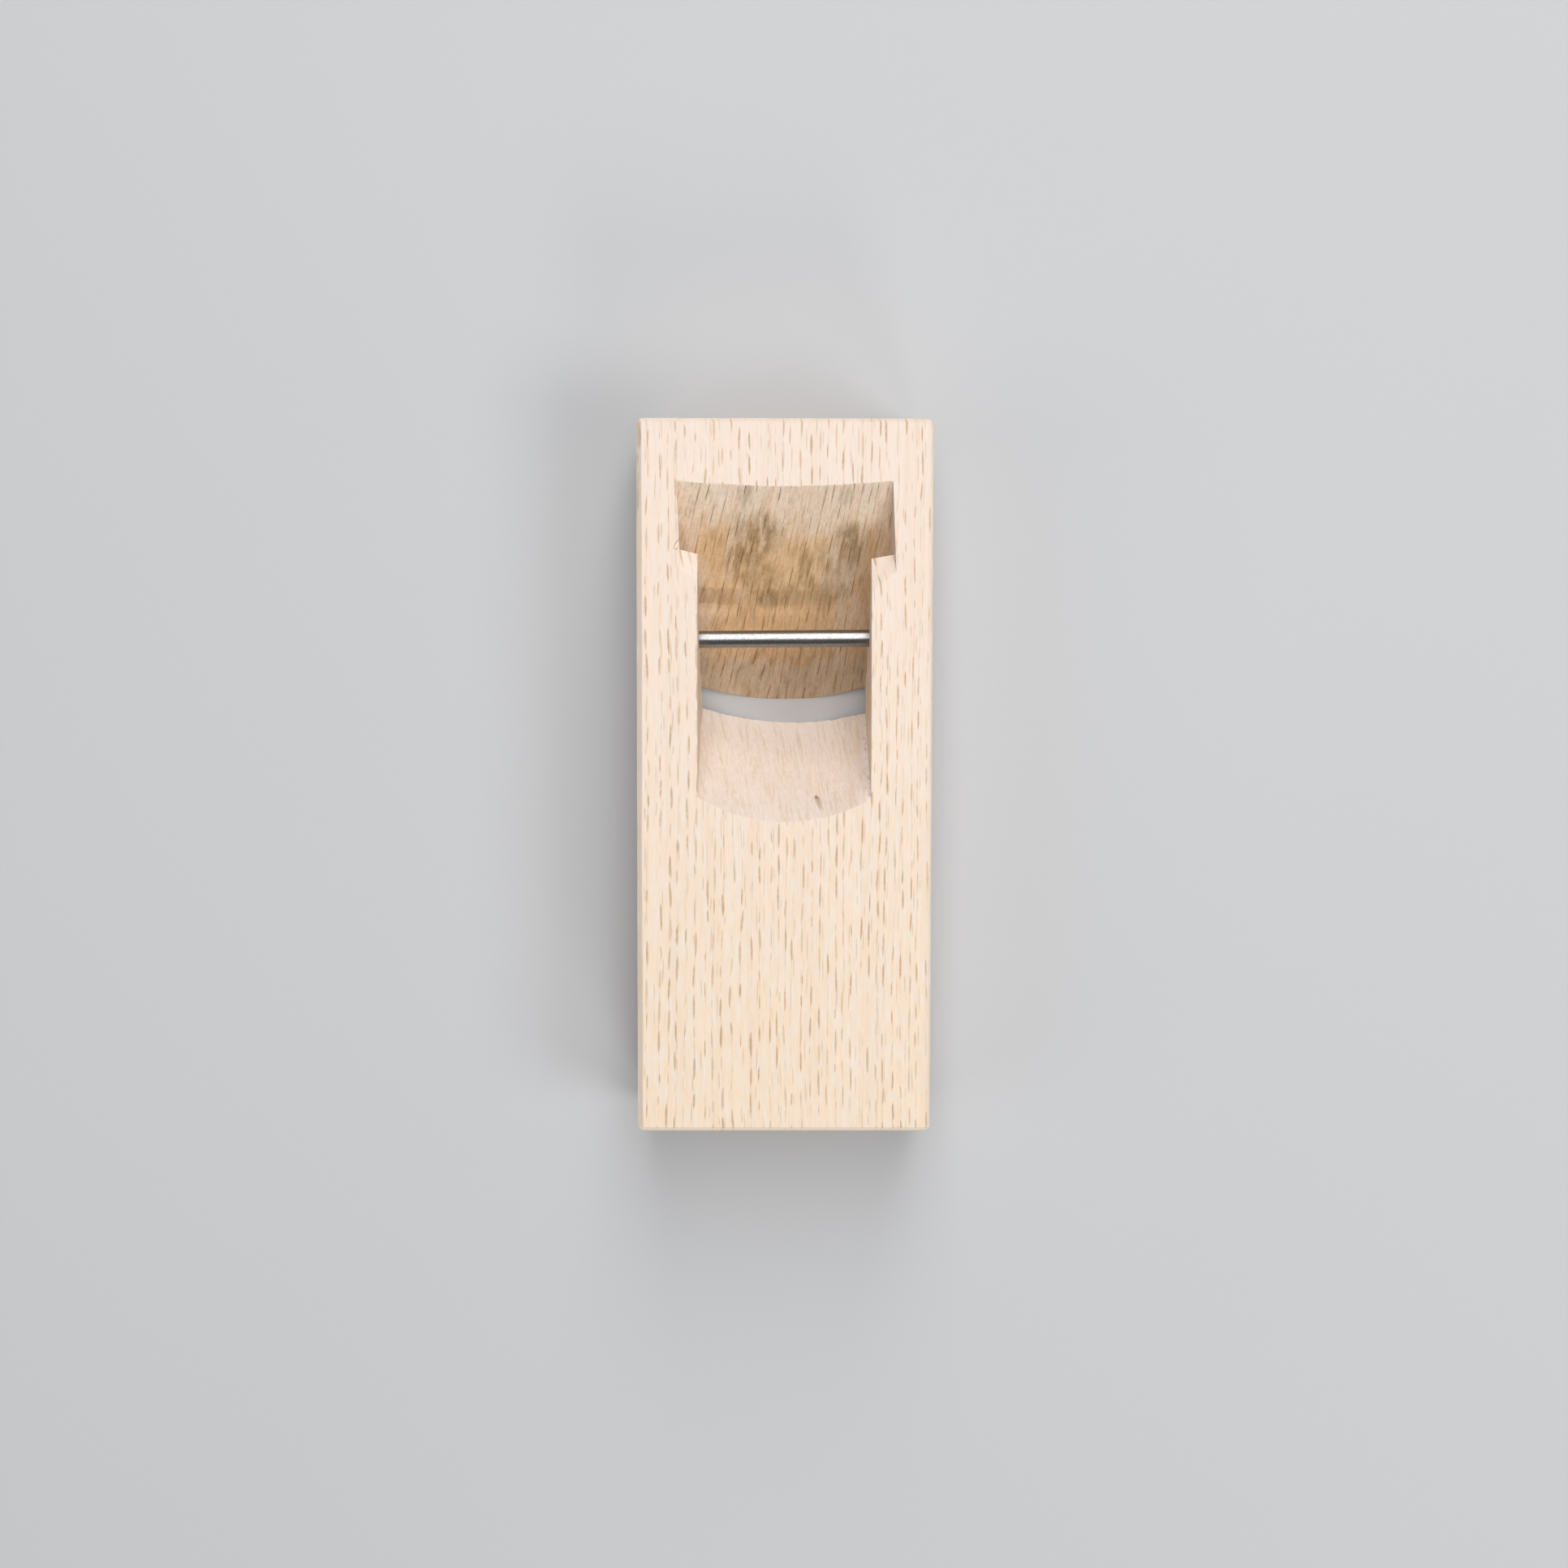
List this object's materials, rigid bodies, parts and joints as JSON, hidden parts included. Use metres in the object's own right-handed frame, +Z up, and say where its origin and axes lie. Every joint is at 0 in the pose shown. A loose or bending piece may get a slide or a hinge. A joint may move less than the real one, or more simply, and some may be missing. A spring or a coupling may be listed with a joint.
{
  "type": "hand plane",
  "caption": "Small wooden pull plane with a round sole, a sloped iron bed, an open throat and a steel retaining pin across it; the cutting iron is out.",
  "frame": {"origin": "on the lowest line of the round sole, midway along and across the body", "axes": "+X across the body towards the side that the pin is driven in from, +Y along the body towards the head end that the iron leans to, +Z up out of the top face"},
  "size_m": [0.059, 0.143, 0.0325],
  "materials": {
    "body_wood": "pale hardwood, planed and bare, with brown ray flecks",
    "pin_steel": "bright drawn rod with fine lengthwise scratches"
  },
  "bodies": {
    "body": {"plane_body": "body_wood"},
    "pin": {"retaining_pin": "pin_steel"}
  },
  "joints": [
    {"name": "pin_drift", "type": "slide", "parent": "body", "child": "pin", "axis": [1, 0.0087, 0], "range_m": [0, 0.052]}
  ]
}
